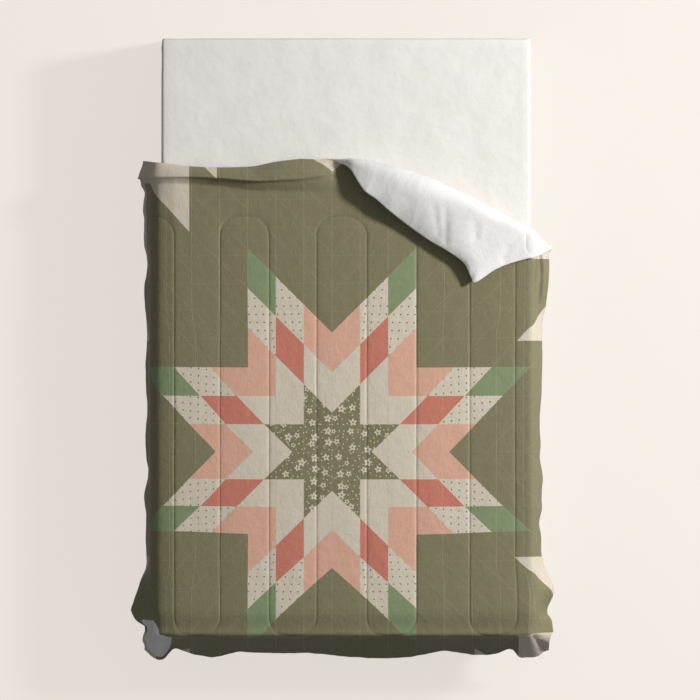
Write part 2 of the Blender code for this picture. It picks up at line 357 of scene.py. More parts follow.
FOOT_LEAN = (
    # x, lean
    (-0.675, 56),
    (-0.640, 71),
    (-0.600, 67),
    (-0.560, 62),
    (-0.500, 58),
    (-0.450, 61),
    (-0.390, 66),
    (-0.333, 64),
    (-0.200, 63),
    (-0.150, 64),
    (-0.100, 62),
    (-0.037, 59),
    (0.080, 55),
    (0.180, 56),
    (0.230, 57),
    (0.289, 61),
    (0.350, 67),
    (0.380, 67),
    (0.437, 64),
    (0.480, 62),
    (0.560, 64),
    (0.615, 71),
    (0.645, 59),
    (0.675, 59),
)
LEFT_CORNER_LEAN = (
    # degrees round the corner from side to foot, lean
    (0, 79),
    (23, 70),
    (41, 69),
    (63, 58),
    (79, 54),
    (90, 56),
)
RIGHT_CORNER_LEAN = (
    # degrees round the corner from side to foot, lean
    (0, 36),
    (15, 37),
    (30, 39),
    (45, 45),
    (60, 56),
    (75, 57),
    (90, 59),
)
RIGHT_FLARE = (
    # y, how far the right hem reaches past its flat line
    (-1.300, 0.031),
    (-1.060, 0.032),
    (-0.960, 0.038),
    (-0.840, 0.008),
    (-0.640, 0.006),
    (-0.300, 0.004),
    (0.060, 0.006),
    (0.120, 0.006),
    (0.320, 0.006),
)

# The head hem is pushed up into a soft ridge, left of the folded corner
HEAD_RIDGE = (
    # x, y of the crease below the ridge, y of its crest, y of the hem, height
    (-0.900, 0.556, 0.574, 0.640, 0.020),
    (-0.700, 0.555, 0.576, 0.637, 0.030),
    (-0.582, 0.552, 0.578, 0.624, 0.040),
    (-0.474, 0.545, 0.574, 0.621, 0.047),
    (-0.372, 0.531, 0.566, 0.625, 0.050),
    (-0.327, 0.527, 0.564, 0.631, 0.050),
    (-0.262, 0.526, 0.567, 0.648, 0.052),
    (-0.169, 0.526, 0.573, 0.660, 0.048),
    (-0.127, 0.526, 0.580, 0.657, 0.042),
    (-0.090, 0.525, 0.587, 0.656, 0.032),
    (-0.060, 0.524, 0.594, 0.662, 0.022),
    (-0.030, 0.522, 0.600, 0.668, 0.010),
    (0.010, 0.522, 0.605, 0.675, 0.000),
    (0.800, 0.522, 0.605, 0.675, 0.000),
)
CREST_SHARE = 0.42
WALL_START = 0.80
WALL_CURVE = 1.4
WALL_FROM_SLOPE = 0.62
CREST_EDGE = 0.0035
CREST_DROP = 0.22
RIDGE_HEM_SHARE = 0.10

# The folded corner: the fold line runs from the head hem to the right hem
FOLD_START = (-0.0667, 0.6519)
FOLD_END = (0.7593, 0.3333)
FOLD = (
    # along the line, crease off it, roll radius, degrees turned, flap, slide along, rise
    (-0.150, 0.010, 0.006, 0, 0.000, 0.000, 0.000),
    (-0.016, 0.010, 0.006, 0, 0.000, 0.000, 0.000),
    (0.004, -0.002, 0.006, 120, 0.006, 0.000, 0.000),
    (0.024, -0.006, 0.010, 160, 0.018, -0.002, 0.000),
    (0.052, -0.012, 0.020, 170, 0.030, -0.004, 0.000),
    (0.080, -0.014, 0.031, 178, 0.038, -0.008, 0.002),
    (0.111, -0.014, 0.040, 180, 0.052, -0.014, 0.006),
    (0.185, -0.009, 0.046, 180, 0.096, -0.022, 0.008),
    (0.250, -0.006, 0.049, 180, 0.109, -0.030, 0.000),
    (0.318, -0.006, 0.052, 180, 0.125, -0.040, -0.010),
    (0.385, 0.000, 0.053, 180, 0.146, -0.048, -0.026),
    (0.526, 0.009, 0.047, 180, 0.177, -0.066, -0.020),
    (0.615, 0.002, 0.044, 180, 0.176, -0.078, -0.008),
    (0.700, -0.003, 0.039, 180, 0.188, -0.088, 0.000),
    (0.748, -0.006, 0.037, 180, 0.222, -0.093, 0.000),
    (0.772, -0.008, 0.036, 180, 0.230, -0.096, 0.002),
    (0.805, -0.013, 0.034, 180, 0.150, -0.074, -0.002),
    (0.840, -0.023, 0.031, 180, 0.088, -0.050, -0.004),
    (0.867, -0.029, 0.027, 180, 0.044, -0.018, 0.000),
    (0.900, -0.033, 0.024, 180, 0.006, 0.000, 0.000),
)
FLAP_CREASES = (
    # start x, start y, end x, end y, depth, width
    (0.369, 0.510, 0.369, 0.335, 0.0038, 0.010),
    (0.316, 0.505, 0.345, 0.360, 0.0024, 0.012),
    (0.481, 0.425, 0.478, 0.355, 0.0032, 0.016),
    (0.600, 0.315, 0.585, 0.270, 0.0030, 0.014),
    (0.170, 0.545, 0.240, 0.480, 0.0020, 0.012),
)

# The filling thins towards the roll, to a share of its radius. The face turns over within the blend.
SQUEEZE = 0.60
SQUEEZE_WIDTH = 0.070
FOLD_BLEND = 0.05
CREASE_BLEND = 3.0

# The widest step of the cloth's mesh, up to each place along it
COLUMN_STEPS = (
    # up to x, widest step
    (-0.15, 0.0118),
    (0.50, 0.0095),
    (0.67, 0.0118),
    (0.80, 0.0055),
)
ROW_STEPS = (
    # up to y, widest step
    (-1.13, 0.0090),
    (-1.03, 0.0056),
    (0.24, 0.0128),
    (0.35, 0.0095),
    (0.445, 0.0060),
    (0.565, 0.0075),
    (0.62, 0.0036),
    (0.70, 0.0062),
)
STITCH_SIDES = (0.002, 0.004, 0.007, 0.012)

# Pleats gathered below the fold's end, each a step that rises to the right and dies away
PLEATS = (
    # start x, start y, end x, end y, height, ramp, tail
    (0.724, 0.312, 0.738, 0.226, 0.0200, 0.0085, 0.020),
    (0.738, 0.226, 0.733, 0.110, 0.0160, 0.0085, 0.022),
    (0.714, 0.290, 0.708, 0.180, 0.0050, 0.0065, 0.010),
    (0.708, 0.335, 0.716, 0.288, 0.0070, 0.0070, 0.008),
    (0.748, 0.335, 0.754, 0.280, 0.0080, 0.0070, 0.008),
)

# How fast a pleat grows from its start and dies before its end, and how far along it is there
PLEAT_START = (4.0, 0.8)
PLEAT_END = (3.0, 0.2)

# Mesh lines beside the hems
HEM_SIDES = (0.002, 0.005, 0.010, 0.018)

# How far the cloth is drawn up under its print, in the middle and near the sides
PRINT_SHIFT = (
    # y, middle, sides
    (-1.300, 0.020, 0.000),
    (-1.100, 0.030, 0.000),
    (-1.060, 0.032, 0.010),
    (-0.956, 0.025, 0.016),
    (-0.830, 0.011, 0.018),
    (-0.750, 0.009, 0.023),
    (-0.644, 0.007, 0.012),
    (-0.541, 0.005, 0.008),
    (-0.338, 0.001, 0.003),
    (-0.130, 0.003, 0.005),
    (0.000, 0.003, 0.012),
    (0.100, 0.003, 0.010),
    (0.200, 0.003, 0.000),
    (0.700, 0.003, 0.000),
)

# The middle's shift turns into the sides' past this line, over this width. At the head ridge
# the print is looked up from above.
MIDDLE_UP_TO = 0.25
SIDES_OVER = 0.45
RIDGE_FROM = 0.50
RIDGE_BLEND = 0.03

# How far the print is drawn outwards near the sides, and from where over which width
SIDE_SPREAD = 0.012
SIDE_SPREAD_FROM = 0.55
SIDE_SPREAD_OVER = 0.15

# The rows of the star's side arms: their foot and head ends, and the width each fades over
ARMS_FOOT = (-0.95, 0.10)
ARMS_HEAD = (0.10, 0.12)
PRINT_SPREAD = (
    # x, how far right the print is looked up on those rows
    (-0.680, -0.0125),
    (-0.570, -0.0150),
    (-0.500, -0.0120),
    (-0.440, -0.0040),
    (-0.380, -0.0020),
    (-0.300, 0.0000),
    (0.260, 0.0000),
    (0.330, 0.0040),
    (0.400, 0.0080),
    (0.540, 0.0150),
    (0.590, 0.0147),
    (0.660, 0.0045),
    (0.700, 0.0020),
)


def read_row(table, place, column=1):
    """Read a table's column at a place between its rows, on a smooth curve."""
    if place <= table[0][0]:
        return table[0][column]
    if place >= table[-1][0]:
        return table[-1][column]
    index = max(row for row in range(len(table) - 1) if table[row][0] <= place)
    start = table[index]
    end = table[index + 1]
    before = table[max(index - 1, 0)]
    after = table[min(index + 2, len(table) - 1)]
    span = end[0] - start[0]
    part = (place - start[0]) / span
    slope_in = (end[column] - before[column]) / (end[0] - before[0]) * span
    slope_out = (after[column] - start[column]) / (after[0] - start[0]) * span
    square = part * part
    cube = square * part
    return (
        (2 * cube - 3 * square + 1) * start[column]
        + (cube - 2 * square + part) * slope_in
        + (3 * square - 2 * cube) * end[column]
        + (cube - square) * slope_out
    )


def ripple(x, y, layer):
    """Give a smooth random height from -1 to 1 at a place on the cloth."""
    return noise.noise(Vector((x, y, layer)))


def hang(length, bend, lean):
    """Follow the cloth over an edge: how far out, how far down, and how steep."""
    face_bend = bend + FACE_OUTSIDE
    turned = min(length / face_bend, lean)
    straight = max(length - face_bend * lean, 0.0)
    out = bend * math.sin(turned) + straight * math.cos(turned)
    down = bend * (1.0 - math.cos(turned)) + straight * math.sin(turned)
    return out, down, turned


def drape(x, y):
    """Place a point of the reverse face on the mattress, with the way its face looks."""
    over_side = abs(x) - (SIDE_EDGE - SIDE_BEND_START)
    over_foot = FOOT_EDGE + FOOT_BEND_START - y
    side = 1.0 if x > 0 else -1.0
    top = MATTRESS_HEIGHT + LYING_GAP
    if over_side <= 0 and over_foot <= 0:
        return (x, y, top), (0.0, 0.0, 1.0)
    side_bend = RIGHT_BEND if x > 0 else LEFT_BEND
    side_table = RIGHT_LEAN if x > 0 else LEFT_LEAN
    corner_table = RIGHT_CORNER_LEAN if x > 0 else LEFT_CORNER_LEAN
    if over_side > 0 and over_foot > 0:
        angle = math.atan2(over_foot, over_side)
        share = smooth_step(angle / (math.pi / 2))
        length = math.hypot(over_side, over_foot)
        shortening = RIGHT_CORNER_SHORTENING if x > 0 else LEFT_CORNER_SHORTENING
        length *= 1.0 - shortening * math.sin(2.0 * angle) ** 2
        bend = side_bend + (FOOT_BEND - side_bend) * share
        lean = read_row(corner_table, math.degrees(angle))
        if x > 0:
            angle = math.pi / 2 * (angle / (math.pi / 2)) ** RIGHT_CORNER_TURN
    elif over_side > 0:
        angle = 0.0
        length = over_side
        bend = side_bend
        quiet = smooth_step((y - FOOT_EDGE) / CORNER_QUIET)
        sway = sum(degrees * ripple(side, y * count, layer) for degrees, count, layer in LEAN_RIPPLES)
        lean = read_row(side_table, y) + quiet * sway
    else:
        angle = math.pi / 2
        length = over_foot
        bend = FOOT_BEND
        quiet = smooth_step((SIDE_EDGE - abs(x)) / CORNER_QUIET)
        sway = sum(degrees * ripple(x * count, FOOT_ROW, layer) for degrees, count, layer in LEAN_RIPPLES)
        lean = read_row(FOOT_LEAN, x) + quiet * sway
    out, down, turned = hang(length, bend, math.radians(lean))
    outward_x = side * math.cos(angle)
    outward_y = -math.sin(angle)
    start_x = x if over_side <= 0 else side * (SIDE_EDGE - SIDE_BEND_START)
    start_y = y if over_foot <= 0 else FOOT_EDGE + FOOT_BEND_START
    place = (start_x + outward_x * out, start_y + outward_y * out, top - down)
    facing = (outward_x * math.sin(turned), outward_y * math.sin(turned), math.cos(turned))
    return place, facing


def lift(place, facing, height):
    """Move a point away from the face it lies on."""
    return tuple(start + height * way for start, way in zip(place, facing))


def lay_ridge(x, y, height):
    """Lay a point on the mattress, over the ridge that the head hem is pushed into."""
    crease = read_row(HEAD_RIDGE, x, 1)
    if y <= crease:
        place, facing = drape(x, y)
        return lift(place, facing, height), facing
    crest = read_row(HEAD_RIDGE, x, 2)
    hem = read_row(HEAD_RIDGE, x, 3)
    part = (y - crease) / (HEAD_HEM - crease)
    if part < CREST_SHARE:
        up_slope = part / CREST_SHARE
        rise = WALL_FROM_SLOPE * up_slope
        up_wall = max((up_slope - WALL_START) / (1.0 - WALL_START), 0.0)
        rise += (1.0 - WALL_FROM_SLOPE) * up_wall ** WALL_CURVE
        plan_y = crease + (crest - crease) * part / CREST_SHARE
    else:
        past = (part - CREST_SHARE) / (1.0 - CREST_SHARE)
        plan_y = crest + (hem - crest) * past
        drop = CREST_DROP * (1.0 - math.exp(-(plan_y - crest) / CREST_EDGE))
        rise = 1.0 - drop - (1.0 - RIDGE_HEM_SHARE - CREST_DROP) * smooth_step(past)
    ridge = rise * max(read_row(HEAD_RIDGE, x, 4), 0.0)
    place, facing = drape(x, plan_y)
    return lift(place, facing, height + ridge), facing


def flap_creases(x, y):
    """Give how deep the folded corner is creased at a place seen from above."""
    depth = 0.0
    for start_x, start_y, end_x, end_y, deep, width in FLAP_CREASES:
        run_x = end_x - start_x
        run_y = end_y - start_y
        square = run_x * run_x + run_y * run_y
        part = min(max(((x - start_x) * run_x + (y - start_y) * run_y) / square, 0.0), 1.0)
        away = math.hypot(x - start_x - part * run_x, y - start_y - part * run_y)
        depth += deep * math.exp(-((away / width) ** 2))
    return depth


def fold_axes():
    """Give the fold line's direction and the direction across it."""
    run_x = FOLD_END[0] - FOLD_START[0]
    run_y = FOLD_END[1] - FOLD_START[1]
    length = math.hypot(run_x, run_y)
    along = (run_x / length, run_y / length)
    across = (-along[1], along[0])
    return along, across


def fold_place(x, y):
    """Give a flat point's place along the fold line and its distance past the crease."""
    along, across = fold_axes()
    from_x = x - FOLD_START[0]
    from_y = y - FOLD_START[1]
    place = from_x * along[0] + from_y * along[1]
    past = from_x * across[0] + from_y * across[1] - read_row(FOLD, place, 1)
    return place, past


def place_cloth(x, y, puff):
    """Place a point of the reverse face: lying, hanging, on the roll or on the flap."""
    place, past = fold_place(x, y)
    if past <= 0:
        return lay_ridge(x, y, 0.0)
    along, across = fold_axes()
    crease = read_row(FOLD, place, 1)
    radius = read_row(FOLD, place, 2)
    turn = math.radians(min(max(read_row(FOLD, place, 3), 0.0), 180.0))
    flap = max(read_row(FOLD, place, 4), 0.0)
    slide = read_row(FOLD, place, 5)
    rise = read_row(FOLD, place, 6)
    crease_x = FOLD_START[0] + along[0] * place + across[0] * crease
    crease_y = FOLD_START[1] + along[1] * place + across[1] * crease
    to_hem = min((HEAD_HEM - crease_y) / across[1], (RIGHT_HEM - crease_x) / across[0])
    part = min(past / max(to_hem, 0.001), 1.0)
    travelled = part * (radius * turn + flap)
    turned = min(travelled / radius, turn)
    straight = max(travelled - radius * turn, 0.0)
    flap_part = straight / flap if flap > 0 else 0.0
    height = radius * (1.0 - math.cos(turned)) + rise * smooth_step(flap_part)
    height += puff * smooth_step(turned / math.pi * 2.0 - 1.0)
    offset = crease + radius * math.sin(turned) - straight
    shifted = place + slide * smooth_step(part)
    flat_x = FOLD_START[0] + along[0] * shifted + across[0] * offset
    flat_y = FOLD_START[1] + along[1] * shifted + across[1] * offset
    height -= flap_creases(flat_x, flat_y) * smooth_step(CREASE_BLEND * flap_part)
    return lay_ridge(flat_x, flat_y, height)


def turn_distance(x, past_turn, middle):
    """Measure how far outside a row of round-ended loops a point is, two runs to each."""
    period = 2.0 * RUN_SPACING
    across = abs((x - middle + RUN_SPACING) % period - RUN_SPACING)
    side = across - RUN_SPACING / 2 + TURN_RADIUS
    end = past_turn + TURN_RADIUS
    outside = math.hypot(max(side, 0.0), max(end, 0.0))
    return outside + min(max(side, end), 0.0) - TURN_RADIUS


def even_place(x):
    """Give the place across that a flat point would have if the runs were evenly spaced."""
    ends = (RUN_PLACES[0] - RUN_SPACING, *RUN_PLACES, RUN_PLACES[-1] + RUN_SPACING)
    index = max(run for run in range(len(ends) - 1) if run == 0 or ends[run] <= x)
    part = (x - ends[index]) / (ends[index + 1] - ends[index])
    return MIDDLE_X + (index - (len(RUN_PLACES) + 1) / 2 + part) * RUN_SPACING


def stitch_distance(x, y):
    """Measure how far a flat point is from the stitching, less than 0 left of a run's way."""
    x = even_place(x)
    if y < (FOOT_TURN_Y + HEAD_TURN_Y) / 2:
        return turn_distance(x, FOOT_TURN_Y - y, MIDDLE_X - RUN_SPACING)
    return -turn_distance(x, y - HEAD_TURN_Y, MIDDLE_X)


def pleats(x, y):
    """Give the height of the pleats at a flat point."""
    height = 0.0
    for start_x, start_y, end_x, end_y, rise, ramp, tail in PLEATS:
        run_x = end_x - start_x
        run_y = end_y - start_y
        length = math.hypot(run_x, run_y)
        along = ((x - start_x) * run_x + (y - start_y) * run_y) / length
        right = ((y - start_y) * run_x - (x - start_x) * run_y) / length
        fade = smooth_step(along / length * PLEAT_START[0] + PLEAT_START[1])
        fade *= smooth_step((length - along) / length * PLEAT_END[0] + PLEAT_END[1])
        if right < 0:
            height += rise * fade * smooth_step(1.0 + right / ramp)
        else:
            height += rise * fade * math.exp(-right / tail)
    return height


def thickness(x, y):
    """Give the filling's thickness at a flat point."""
    to_hem = min(x - LEFT_HEM, RIGHT_HEM - x, y - FOOT_HEM, HEAD_HEM - y)
    crown = 1.0 - math.exp(-to_hem / HEM_ROLL)
    away = abs(stitch_distance(x, y))
    dip = math.exp(-away / CHANNEL_WIDTH)
    full = LOFT - CHANNEL_DIP * dip - STITCH_DIP * math.exp(-((away / STITCH_WIDTH) ** 2))
    for height, across, along, layer in FILL_LUMPS:
        full += height * (1.0 - dip) * ripple(x * across, y * along, layer)
    on_runs = FOOT_TURN_Y + TURN_REACH < y < HEAD_TURN_Y - TURN_REACH
    across, along = RUN_PUCKERS if on_runs else TURN_PUCKERS
    full += PUCKER_DEPTH * math.exp(-away / PUCKER_WIDTH) * ripple(x * across, y * along, PUCKER_LAYER)
    over_edge = max(abs(x) - SIDE_EDGE, FOOT_EDGE - y - SQUEEZED_AT_FOOT) / SQUEEZED_OVER
    full *= 1.0 - HANGING_SQUEEZE * smooth_step(over_edge)
    full -= FOOT_THINNING * smooth_step((FOOT_THINNED[0] - y) / FOOT_THINNED[1])
    full -= LEFT_THINNING * smooth_step((LEFT_THINNED[0] - x) / LEFT_THINNED[1])
    thick = HEM_THICKNESS + (full - HEM_THICKNESS) * crown
    place, past = fold_place(x, y)
    radius = read_row(FOLD, place, 2)
    if 0.0 < past + SQUEEZE_WIDTH and place > FOLD[0][0]:
        near = smooth_step((past + SQUEEZE_WIDTH) / SQUEEZE_WIDTH)
        limit = SQUEEZE * radius
        thick += (min(thick, limit) - thick) * near
    return thick + pleats(x, y) * crown


def draw_in(x, y):
    """Pull the hems in between the corners, as the filling does."""
    middle_x = (LEFT_HEM + RIGHT_HEM) / 2
    middle_y = (FOOT_HEM + HEAD_HEM) / 2
    share_x = (x - middle_x) / (RIGHT_HEM - middle_x)
    share_y = (y - middle_y) / (HEAD_HEM - middle_y)
    near_side = smooth_step(1.0 - min(x - LEFT_HEM, RIGHT_HEM - x) / DRAWN_DEPTH)
    near_end = smooth_step(1.0 - min(y - FOOT_HEM, HEAD_HEM - y) / DRAWN_DEPTH)
    pulled_x = x - math.copysign(DRAWN_IN, share_x) * near_side * (1.0 - share_y ** 2)
    pulled_y = y - math.copysign(DRAWN_IN, share_y) * near_end * (1.0 - share_x ** 2)
    if x > 0:
        pulled_x += near_side * read_row(RIGHT_FLARE, y)
    return pulled_x, pulled_y


def stations(marks, steps):
    """Give the mesh lines through all marks, no further apart than the steps allow."""
    places = sorted(marks)
    lines = [places[0]]
    for start, end in zip(places, places[1:]):
        middle = (start + end) / 2
        widest = next((step for upto, step in steps if middle < upto), steps[-1][1])
        count = max(math.ceil((end - start) / widest - 1e-6), 1)
        lines.extend(start + (end - start) * (index + 1) / count for index in range(count))
    return lines


column_marks = [LEFT_HEM, RIGHT_HEM]
column_marks.extend(LEFT_HEM + side for side in HEM_SIDES)
column_marks.extend(RIGHT_HEM - side for side in HEM_SIDES)
for line in RUN_PLACES:
    column_marks.append(line)
    column_marks.extend(line + side for side in STITCH_SIDES)
    column_marks.extend(line - side for side in STITCH_SIDES)
columns = stations(column_marks, COLUMN_STEPS)
row_marks = [FOOT_HEM, HEAD_HEM, FOOT_TURN_Y, HEAD_TURN_Y]
row_marks.extend(FOOT_HEM + side for side in HEM_SIDES)
row_marks.extend(HEAD_HEM - side for side in HEM_SIDES)
row_marks.extend((FOOT_TURN_Y - 0.008, FOOT_TURN_Y + TURN_RADIUS + 0.010))
row_marks.extend((HEAD_TURN_Y + 0.01, HEAD_TURN_Y - TURN_RADIUS - 0.008))
rows = stations(row_marks, ROW_STEPS)
cloth = bmesh.new()
bmesh.ops.create_grid(cloth, x_segments=len(columns) - 1, y_segments=len(rows) - 1, size=1.0)
flat_layer = cloth.verts.layers.float_vector.new("flat_place")
face_layer = cloth.verts.layers.float_vector.new("printed_face")
for vert in cloth.verts:
    x = columns[round((vert.co.x + 1.0) / 2.0 * (len(columns) - 1))]
    y = rows[round((vert.co.y + 1.0) / 2.0 * (len(rows) - 1))]
    thick = thickness(x, y)
    place, facing = place_cloth(*draw_in(x, y), FOLD_PUFF * (thick - LOFT))
    vert[flat_layer] = (x, y, thick)
    vert[face_layer] = facing
    vert.co = place
cloth.normal_update()
for vert in cloth.verts:
    x, y, thick = vert[flat_layer]
    place, past = fold_place(x, y)
    folded = smooth_step((past + FOLD_BLEND) / FOLD_BLEND)
    folded *= smooth_step((place - FOLD[0][0]) / FOLD_BLEND)
    facing = Vector(vert[face_layer]).lerp(vert.normal, folded).normalized()
    vert[face_layer] = vert.co + facing * thick
reverse_faces = cloth.faces[:]
raised = bmesh.ops.extrude_face_region(cloth, geom=reverse_faces, use_keep_orig=True)
for part in raised["geom"]:
    if isinstance(part, bmesh.types.BMVert):
        part.co = part[face_layer]
bmesh.ops.reverse_faces(cloth, faces=reverse_faces)
for face in reverse_faces:
    face.material_index = 1
bmesh.ops.recalc_face_normals(cloth, faces=cloth.faces[:])
flat_map = cloth.loops.layers.uv.new("flat_metres")
stitch_layer = cloth.verts.layers.float.new("stitch_distance")
for vert in cloth.verts:
    vert[stitch_layer] = stitch_distance(vert[flat_layer].x, vert[flat_layer].y)
for face in cloth.faces:
    for loop in face.loops:
        x, y, thick = loop.vert[flat_layer]
        place, past = fold_place(x, y)
        near_side = smooth_step((abs(x) - SIDE_SPREAD_FROM) / SIDE_SPREAD_OVER)
        printed_x = x + math.copysign(SIDE_SPREAD, x) * near_side
        on_arms = smooth_step((y - ARMS_FOOT[0]) / ARMS_FOOT[1])
        on_arms *= smooth_step((ARMS_HEAD[0] - y) / ARMS_HEAD[1])
        printed_x += read_row(PRINT_SPREAD, x) * on_arms
        seen = smooth_step((y - RIDGE_FROM) / RIDGE_BLEND) * smooth_step(-past / RIDGE_BLEND)
        printed_y = y + (loop.vert[face_layer].y - y) * seen
        shift_middle = read_row(PRINT_SHIFT, y, 1)
        shift_side = read_row(PRINT_SHIFT, y, 2)
        to_side = smooth_step((abs(x) - MIDDLE_UP_TO) / SIDES_OVER)
        printed_y -= shift_middle + (shift_side - shift_middle) * to_side
        loop[flat_map].uv = (printed_x, printed_y)
comforter_mesh = bpy.data.meshes.new("quilted_comforter")
cloth.to_mesh(comforter_mesh)
cloth.free()
comforter_mesh.shade_smooth()
comforter = bpy.data.objects.new("quilted_comforter", comforter_mesh)
bpy.context.scene.collection.objects.link(comforter)

# Printed microfibre, brushed and pigment-printed: matt, with a soft nap and fine upright slubs.
# The print is a patchwork star, laid out by the flat cloth's own metres from the star's middle.
OLIVE = "#787459"
CREAM = "#c4bbab"
SALMON = "#c99e89"
CORAL = "#ba7464"
GREEN = "#7a8967"
DOT_BROWN = "#6b5b50"
STAR_X = -0.052
STAR_Y = -0.443
PATCH = 0.147
DOTS_ACROSS = 5.5
DOTS_UP = 3.5
DOT_TILT = 0.62
DOT_RADIUS = 0.0029

# Cream patches at the edges: where each starts, from the star's middle
CORNER_WIDE = 0.6926
CORNER_TALL = 0.6815
SIDE_WIDE = 0.6926
SIDE_TALL = 0.4037
END_WIDE = 0.5296
END_TALL = 0.8185
SMALL_WIDE = 0.4259
SMALL_TALL = 1.0110
V_TALL = 1.0370
LOBE_TALL = 0.999

# How much further out a patch starts at the head, left or right, and along the left side
HEAD_LEFT_WIDER = 0.09
HEAD_RIGHT_WIDER = 0.008
HEAD_RIGHT_TALLER = 0.037
HEAD_RIGHT_SIDE = 0.010
LEFT_SIDE = 0.06

# Flowers and buds on the middle star
PETALS = 5.0
PETAL_REACH = 0.0105
PETAL_WAVE = 0.0030
PETAL_MIDDLE = 0.0034
FLOWER_LEAST = 0.7
FLOWER_SPREAD = 0.5
FLOWER_TURN = 6.28
BUD_RADIUS = 0.0024
BUD_CLEARANCE = 0.0150

